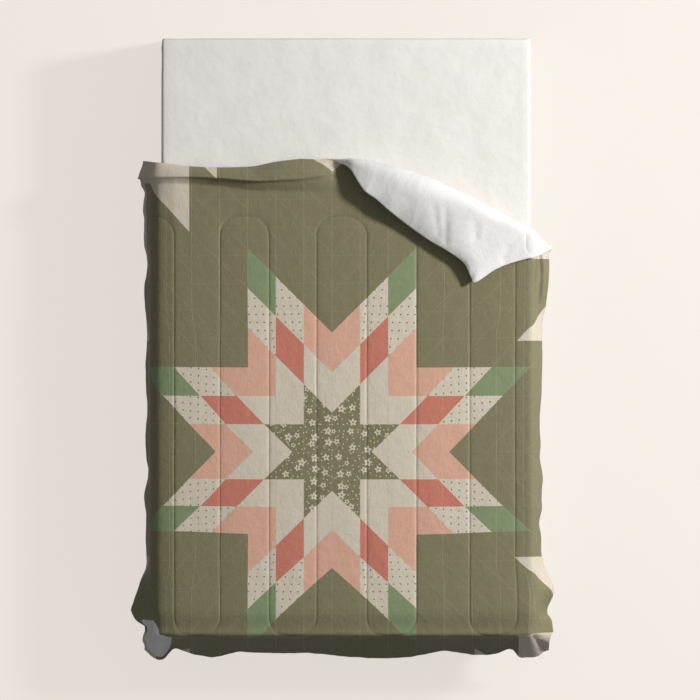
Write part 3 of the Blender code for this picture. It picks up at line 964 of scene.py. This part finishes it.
# Quilt lines in the print, and the stitching's crease and thread
QUILT_PITCH = 0.104
LINE_HALF = 0.0009
UPRIGHT_TONE = 0.18
LEVEL_TONE = 0.06
SLANT_TONE = 0.15
CREASE_REACH = 0.0042
THREAD_HALF = 0.0008
# The thread's share is partly thread colour and partly painted shade of the stitch groove
THREAD_AND_SHADE_SHARE = 0.42
CREASE_DEPTH = 0.0006
SLUB_RELIEF = 0.00035
NAP_RELIEF = 0.0022
PRINT_STEPS = (
    # result, operation, terms
    ("across", "SUBTRACT", "x", STAR_X),
    ("up", "SUBTRACT", "y", STAR_Y),
    ("wide", "ABSOLUTE", "across"),
    ("tall", "ABSOLUTE", "up"),
    ("far", "MAXIMUM", "wide", "tall"),
    ("near", "MINIMUM", "wide", "tall"),
    ("rest", "SUBTRACT", "far", "near"),
    ("u", "DIVIDE", "rest", PATCH),
    ("v", "MULTIPLY", "near", math.sqrt(2.0) / PATCH),
    ("u patch", "FLOOR", "u"),
    ("v patch", "FLOOR", "v"),
    ("ring", "ADD", "u patch", "v patch"),
    ("u inside", "LESS_THAN", "u", 3.0),
    ("v inside", "LESS_THAN", "v", 3.0),
    ("star", "MULTIPLY", "u inside", "v inside"),
    ("ring one", "COMPARE", "ring", 1.0, 0.1),
    ("ring two", "COMPARE", "ring", 2.0, 0.1),
    ("ring three", "COMPARE", "ring", 3.0, 0.1),
    ("ring four", "COMPARE", "ring", 4.0, 0.1),
    ("u is v", "COMPARE", "u patch", "v patch", 0.1),
    ("middle", "LESS_THAN", "ring", 0.5),
    ("plain cream", "MULTIPLY", "star", "ring one"),
    ("salmon", "MULTIPLY", "star", "ring two"),
    ("coral", "MULTIPLY", "salmon", "u is v"),
    ("dotted cream", "MULTIPLY", "star", "ring three"),
    ("green", "MULTIPLY", "star", "ring four"),
    # dots on the cream patches, in rows a little off level
    ("u dots", "MULTIPLY", "u", DOTS_ACROSS),
    ("v rows", "MULTIPLY", "v", DOTS_UP),
    ("v dots", "MULTIPLY_ADD", "u", -DOT_TILT, "v rows"),
    ("u place", "FRACT", "u dots"),
    ("v place", "FRACT", "v dots"),
    ("u half", "SUBTRACT", "u place", 0.5),
    ("v half", "SUBTRACT", "v place", 0.5),
    ("u off", "DIVIDE", "u half", DOTS_ACROSS),
    ("v level", "DIVIDE", "v half", DOTS_UP),
    ("v off", "MULTIPLY_ADD", "u off", DOT_TILT / DOTS_UP, "v level"),
    ("u square", "MULTIPLY", "u off", "u off"),
    ("v square", "MULTIPLY", "v off", "v off"),
    ("u by v", "MULTIPLY", "u off", "v off"),
    ("squares", "ADD", "u square", "v square"),
    ("skewed", "MULTIPLY_ADD", "u by v", math.sqrt(2.0), "squares"),
    ("in dot", "LESS_THAN", "skewed", (DOT_RADIUS / PATCH) ** 2),
    ("dots", "MULTIPLY", "in dot", "dotted cream"),
    # cream patches at the edges
    ("on left", "LESS_THAN", "across", 0.0),
    ("at head", "GREATER_THAN", "up", 0.0),
    ("head left", "MULTIPLY", "on left", "at head"),
    ("head right", "SUBTRACT", "at head", "head left"),
    ("corner left from", "MULTIPLY_ADD", "head left", HEAD_LEFT_WIDER, CORNER_WIDE),
    ("corner from", "MULTIPLY_ADD", "head right", HEAD_RIGHT_WIDER, "corner left from"),
    ("corner wide", "GREATER_THAN", "wide", "corner from"),
    ("corner tall from", "MULTIPLY_ADD", "head right", HEAD_RIGHT_TALLER, CORNER_TALL),
    ("corner tall", "GREATER_THAN", "tall", "corner tall from"),
    ("corner", "MULTIPLY", "corner wide", "corner tall"),
    ("side hidden", "MULTIPLY_ADD", "on left", LEFT_SIDE, SIDE_WIDE),
    ("side from", "MULTIPLY_ADD", "head right", HEAD_RIGHT_SIDE, "side hidden"),
    ("side wide", "SUBTRACT", "wide", "side from"),
    ("side tall", "SUBTRACT", "tall", SIDE_TALL),
    ("side past", "GREATER_THAN", "side tall", 0.0),
    ("side slope", "LESS_THAN", "side tall", "side wide"),
    ("side spike", "MULTIPLY", "side past", "side slope"),
    ("end wide", "SUBTRACT", "wide", END_WIDE),
    ("end tall", "SUBTRACT", "tall", END_TALL),
    ("end past", "GREATER_THAN", "end wide", 0.0),
    ("end slope", "LESS_THAN", "end wide", "end tall"),
    ("end spike", "MULTIPLY", "end past", "end slope"),
    ("small wide", "SUBTRACT", "wide", SMALL_WIDE),
    ("small tall", "SUBTRACT", "tall", SMALL_TALL),
    ("small past", "GREATER_THAN", "small wide", 0.0),
    ("small slope", "LESS_THAN", "small wide", "small tall"),
    ("small inner", "LESS_THAN", "wide", END_WIDE),
    ("small both", "MULTIPLY", "small past", "small slope"),
    ("small spike", "MULTIPLY", "small both", "small inner"),
    ("v tall", "SUBTRACT", "tall", V_TALL),
    ("v spike", "LESS_THAN", "wide", "v tall"),
    ("lobe tall", "GREATER_THAN", "tall", LOBE_TALL),
    ("lobe left", "MULTIPLY", "lobe tall", "head left"),
    ("lobe", "MULTIPLY", "lobe left", "end past"),
    ("end or lobe", "MAXIMUM", "end spike", "lobe"),
    ("spikes", "MAXIMUM", "side spike", "end or lobe"),
    ("small spikes", "MAXIMUM", "small spike", "v spike"),
    ("all spikes", "MAXIMUM", "spikes", "small spikes"),
    ("edge patches", "MAXIMUM", "all spikes", "corner"),
    # small flowers with five petals on the middle star, and dots between them
    ("petal x", "SUBTRACT", "x", "flower x"),
    ("petal y", "SUBTRACT", "y", "flower y"),
    ("petal x square", "MULTIPLY", "petal x", "petal x"),
    ("petal square", "MULTIPLY_ADD", "petal y", "petal y", "petal x square"),
    ("petal far", "SQRT", "petal square"),
    ("petal angle", "ARCTAN2", "petal y", "petal x"),
    ("petal turn", "MULTIPLY", "flower chance", FLOWER_TURN),
    ("petal five", "MULTIPLY_ADD", "petal angle", PETALS, "petal turn"),
    ("petal wave", "COSINE", "petal five"),
    ("petal reach", "MULTIPLY_ADD", "petal wave", PETAL_WAVE, PETAL_REACH),
    ("petal size", "MULTIPLY_ADD", "flower chance", FLOWER_SPREAD, FLOWER_LEAST),
    ("petal edge", "MULTIPLY", "petal reach", "petal size"),
    ("in petal", "LESS_THAN", "petal far", "petal edge"),
    ("off middle", "GREATER_THAN", "petal far", PETAL_MIDDLE),
    ("petal", "MULTIPLY", "in petal", "off middle"),
    ("bud x", "SUBTRACT", "x", "bud at x"),
    ("bud y", "SUBTRACT", "y", "bud at y"),
    ("bud x square", "MULTIPLY", "bud x", "bud x"),
    ("bud square", "MULTIPLY_ADD", "bud y", "bud y", "bud x square"),
    ("in bud", "LESS_THAN", "bud square", BUD_RADIUS ** 2),
    ("clear of petals", "GREATER_THAN", "petal far", BUD_CLEARANCE),
    ("bud", "MULTIPLY", "in bud", "clear of petals"),
    ("sprigs", "MAXIMUM", "petal", "bud"),
    ("star middle", "MULTIPLY", "star", "middle"),
    ("flowers", "MULTIPLY", "sprigs", "star middle"),
    # quilting drawn in the print: upright, level and at 45 degrees
    ("line across", "DIVIDE", "across", QUILT_PITCH),
    ("line across place", "FRACT", "line across"),
    ("line across off", "SUBTRACT", "line across place", 0.5),
    ("line across near", "ABSOLUTE", "line across off"),
    ("upright line", "GREATER_THAN", "line across near", 0.5 - LINE_HALF / QUILT_PITCH),
    ("line up", "DIVIDE", "up", QUILT_PITCH),
    ("line up place", "FRACT", "line up"),
    ("line up off", "SUBTRACT", "line up place", 0.5),
    ("line up near", "ABSOLUTE", "line up off"),
    ("level line", "GREATER_THAN", "line up near", 0.5 - LINE_HALF / QUILT_PITCH),
    ("slant", "DIVIDE", "rest", PATCH),
    ("slant place", "FRACT", "slant"),
    ("slant off", "SUBTRACT", "slant place", 0.5),
    ("slant near", "ABSOLUTE", "slant off"),
    ("slant line", "GREATER_THAN", "slant near", 0.5 - LINE_HALF / PATCH),
    ("upright tone", "MULTIPLY", "upright line", UPRIGHT_TONE),
    ("level tone", "MULTIPLY", "level line", LEVEL_TONE),
    ("slant tone", "MULTIPLY", "slant line", SLANT_TONE),
    ("straight tone", "MAXIMUM", "upright tone", "level tone"),
    ("all lines", "MAXIMUM", "straight tone", "slant tone"),
    ("dark lines", "MULTIPLY", "all lines", "plain cream"),
    ("faint lines", "SUBTRACT", "all lines", "dark lines"),
    # the crease that the stitching pulls in, and its thread, drawn darker than the cloth as the thread and
    # as painted shade in the stitch groove
    ("from stitch", "ABSOLUTE", "stitch"),
    ("stitch share", "DIVIDE", "from stitch", -CREASE_REACH),
    ("stitch crease", "POWER", math.e, "stitch share"),
    ("thread", "LESS_THAN", "from stitch", THREAD_HALF),
    ("thread and groove shade", "MULTIPLY", "thread", THREAD_AND_SHADE_SHARE),
)
PRINT_LAYERS = (
    # where, colour
    ("plain cream", CREAM),
    ("dotted cream", CREAM),
    ("edge patches", CREAM),
    ("salmon", SALMON),
    ("coral", CORAL),
    ("green", GREEN),
    ("dots", DOT_BROWN),
    ("flowers", CREAM),
    ("faint lines", "#cfcab0"),
    ("dark lines", "#4c4638"),
    # the thread, drawn dark: partly thread colour, partly painted shade in the stitch groove
    ("thread and groove shade", "#4f4a34"),
)
printed = bpy.data.materials.new("printed_microfibre_brushed")
printed.use_nodes = True
tree = printed.node_tree
shader = tree.nodes["Principled BSDF"]
flat_place = add_node(tree, "ShaderNodeUVMap", uv_map="flat_metres").outputs["UV"]
flat_parts = add_node(tree, "ShaderNodeSeparateXYZ", {0: flat_place})
flower_cells = add_node(
    tree,
    "ShaderNodeTexVoronoi",
    {"Vector": flat_place, "Scale": 20.5, "Randomness": 0.72},
    voronoi_dimensions="2D",
)
flower_parts = add_node(tree, "ShaderNodeSeparateXYZ", {0: flower_cells.outputs["Position"]})
flower_colour = add_node(tree, "ShaderNodeSeparateColor", {0: flower_cells.outputs["Color"]})
bud_cells = add_node(
    tree,
    "ShaderNodeTexVoronoi",
    {"Vector": flat_place, "Scale": 52.0, "Randomness": 0.9},
    voronoi_dimensions="2D",
)
bud_parts = add_node(tree, "ShaderNodeSeparateXYZ", {0: bud_cells.outputs["Position"]})
found = {
    "x": flat_parts.outputs["X"],
    "y": flat_parts.outputs["Y"],
    "flower x": flower_parts.outputs["X"],
    "flower y": flower_parts.outputs["Y"],
    "flower chance": flower_colour.outputs["Red"],
    "bud at x": bud_parts.outputs["X"],
    "bud at y": bud_parts.outputs["Y"],
    "stitch": add_node(tree, "ShaderNodeAttribute", attribute_name="stitch_distance").outputs["Fac"],
}
work_out(tree, found, PRINT_STEPS)
paint = linear(OLIVE)
for mask, colour in PRINT_LAYERS:
    paint = mix_colours(tree, found[mask], paint, linear(colour))
slub_place = add_node(tree, "ShaderNodeMapping", {"Vector": flat_place, "Scale": (420.0, 26.0, 1.0)})
slubs = add_node(
    tree,
    "ShaderNodeTexNoise",
    {"Vector": slub_place.outputs[0], "Scale": 1.0, "Detail": 3.0, "Roughness": 0.6},
    noise_dimensions="2D",
)
nap = add_node(
    tree,
    "ShaderNodeTexNoise",
    {"Vector": flat_place, "Scale": 26.0, "Detail": 6.0, "Roughness": 0.6},
    noise_dimensions="2D",
)
slub_tone = add_node(
    tree,
    "ShaderNodeMapRange",
    {"Value": slubs.outputs["Fac"], "From Min": 0.25, "From Max": 0.75, "To Min": 0.90, "To Max": 1.08},
)
grain = add_node(
    tree,
    "ShaderNodeTexNoise",
    {"Vector": flat_place, "Scale": 260.0, "Detail": 2.0, "Roughness": 0.6},
    noise_dimensions="2D",
)
grain_tone = add_node(
    tree,
    "ShaderNodeMapRange",
    {"Value": grain.outputs["Fac"], "From Min": 0.25, "From Max": 0.75, "To Min": 0.90, "To Max": 1.09},
)
found["slub tone"] = slub_tone.outputs[0]
found["grain tone"] = grain_tone.outputs[0]
found["slubs"] = slubs.outputs["Fac"]
found["nap"] = nap.outputs["Fac"]
work_out(
    tree,
    found,
    (
        ("cloth tone", "MULTIPLY", "slub tone", "grain tone"),
        ("slub relief", "MULTIPLY", "slubs", SLUB_RELIEF),
        ("nap relief", "MULTIPLY_ADD", "nap", NAP_RELIEF, "slub relief"),
        ("relief", "MULTIPLY_ADD", "stitch crease", -CREASE_DEPTH, "nap relief"),
    ),
)
toned = mix_colours(tree, 1.0, paint, found["cloth tone"], blend_type="MULTIPLY")
clothe(tree, shader, toned, found["relief"])
shader.inputs["Roughness"].default_value = 0.92
shader.inputs["Specular IOR Level"].default_value = 0.25
shader.inputs["Sheen Weight"].default_value = 0.22
shader.inputs["Sheen Roughness"].default_value = 0.40

# White microfibre, brushed and left unprinted: the reverse, matt, with shallow creases at the stitching, and
# painted shade where its nap lies low.
REVERSE_WHITE = "#dad9d8"
# Painted shade: the colour given to the low places of the nap
REVERSE_PAINTED_SHADE = "#d3d2d1"
REVERSE_CREASE_REACH = 0.0060
REVERSE_CREASE_DEPTH = 0.0010
REVERSE_NAP_RELIEF = 0.0030
reverse = bpy.data.materials.new("white_microfibre_brushed")
reverse.use_nodes = True
tree = reverse.node_tree
shader = tree.nodes["Principled BSDF"]
flat_place = add_node(tree, "ShaderNodeUVMap", uv_map="flat_metres").outputs["UV"]
nap = add_node(
    tree,
    "ShaderNodeTexNoise",
    {"Vector": flat_place, "Scale": 22.0, "Detail": 6.0, "Roughness": 0.6},
    noise_dimensions="2D",
)
stitch = add_node(tree, "ShaderNodeAttribute", attribute_name="stitch_distance").outputs["Fac"]
REVERSE_STEPS = (
    # result, operation, terms
    ("from stitch", "ABSOLUTE", "stitch"),
    ("stitch share", "DIVIDE", "from stitch", -REVERSE_CREASE_REACH),
    ("stitch crease", "POWER", math.e, "stitch share"),
    ("stitch relief", "MULTIPLY", "stitch crease", -REVERSE_CREASE_DEPTH),
    ("relief", "MULTIPLY_ADD", "nap", REVERSE_NAP_RELIEF, "stitch relief"),
)
found = {"stitch": stitch, "nap": nap.outputs["Fac"]}
work_out(tree, found, REVERSE_STEPS)
# Painted shade: the nap's low places take the darker colour, its high places the white
painted_shade_tone = mix_colours(tree, found["nap"], linear(REVERSE_PAINTED_SHADE), linear(REVERSE_WHITE))
clothe(tree, shader, painted_shade_tone, found["relief"])
shader.inputs["Roughness"].default_value = 0.90
shader.inputs["Sheen Weight"].default_value = 0.12
comforter_mesh.materials.append(printed)
comforter_mesh.materials.append(reverse)
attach(comforter, "root")
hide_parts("comforter")

# Studio: a plain pale floor, a soft lamp from the right and a surround that is pale above the floor.
# The floor partly glows, which keeps it as pale as studio paper.
FLOOR_COLOUR = "#747270"
FLOOR_GLOW = "#ddd6ce"
FLOOR_HALF = 12.0
FLOOR_STRENGTH = 0.98
LAMP_PLACE = (6.6, 2.4, 4.6)
LAMP_SIZE = 1.2
LAMP_ENERGY = 900.0
LAMP_COLOUR = (1.0, 0.985, 0.965)
SURROUND_COLOUR = (1.0, 0.995, 0.985, 1.0)
SURROUND_RAMP = {"From Min": -0.10, "From Max": 0.30, "To Min": 0.0, "To Max": 0.30}
floor_shape = bmesh.new()
bmesh.ops.create_grid(floor_shape, x_segments=1, y_segments=1, size=FLOOR_HALF)
floor_mesh = bpy.data.meshes.new("studio_floor")
floor_shape.to_mesh(floor_mesh)
floor_shape.free()
floor = bpy.data.objects.new("studio_floor", floor_mesh)
bpy.context.scene.collection.objects.link(floor)
paper = bpy.data.materials.new("pale_matt_paper")
paper.use_nodes = True
shader = paper.node_tree.nodes["Principled BSDF"]
shader.inputs["Base Color"].default_value = linear(FLOOR_COLOUR)
shader.inputs["Emission Color"].default_value = linear(FLOOR_GLOW)
shader.inputs["Emission Strength"].default_value = FLOOR_STRENGTH
shader.inputs["Roughness"].default_value = 1.0
shader.inputs["Specular IOR Level"].default_value = 0.0
floor_mesh.materials.append(paper)
floor.visible_diffuse = False

lamp_data = bpy.data.lights.new("studio_lamp", "AREA")
lamp_data.shape = "DISK"
lamp_data.size = LAMP_SIZE
lamp_data.energy = LAMP_ENERGY
lamp_data.color = LAMP_COLOUR
lamp = bpy.data.objects.new("studio_lamp", lamp_data)
lamp.location = LAMP_PLACE
lamp.rotation_euler = Vector(LAMP_PLACE).to_track_quat("Z", "Y").to_euler()
bpy.context.scene.collection.objects.link(lamp)
surround = bpy.data.worlds.new("studio_surround")
surround.use_nodes = True
tree = surround.node_tree
direction = add_node(tree, "ShaderNodeTexCoord").outputs["Generated"]
direction_parts = add_node(tree, "ShaderNodeSeparateXYZ", {0: direction})
sky = add_node(tree, "ShaderNodeMapRange", {"Value": direction_parts.outputs["Z"], **SURROUND_RAMP})
tree.nodes["Background"].inputs["Color"].default_value = SURROUND_COLOUR
tree.links.new(sky.outputs[0], tree.nodes["Background"].inputs["Strength"])
bpy.context.scene.world = surround
bpy.context.scene.view_settings.view_transform = "Standard"

# The camera looks straight down from far above, as in the photograph
CAMERA_HEIGHT = 40.0
CAMERA_X = 0.0148
CAMERA_Y = -0.063
SEEN_WIDTH = 2.593
SENSOR_WIDTH = 36.0
camera_data = bpy.data.cameras.new("camera")
camera_data.sensor_width = SENSOR_WIDTH
camera_data.lens = SENSOR_WIDTH * CAMERA_HEIGHT / SEEN_WIDTH
camera_data.clip_end = 200.0
camera = bpy.data.objects.new("camera", camera_data)
camera.location = (CAMERA_X, CAMERA_Y, MATTRESS_HEIGHT + CAMERA_HEIGHT)
bpy.context.scene.collection.objects.link(camera)
bpy.context.scene.camera = camera
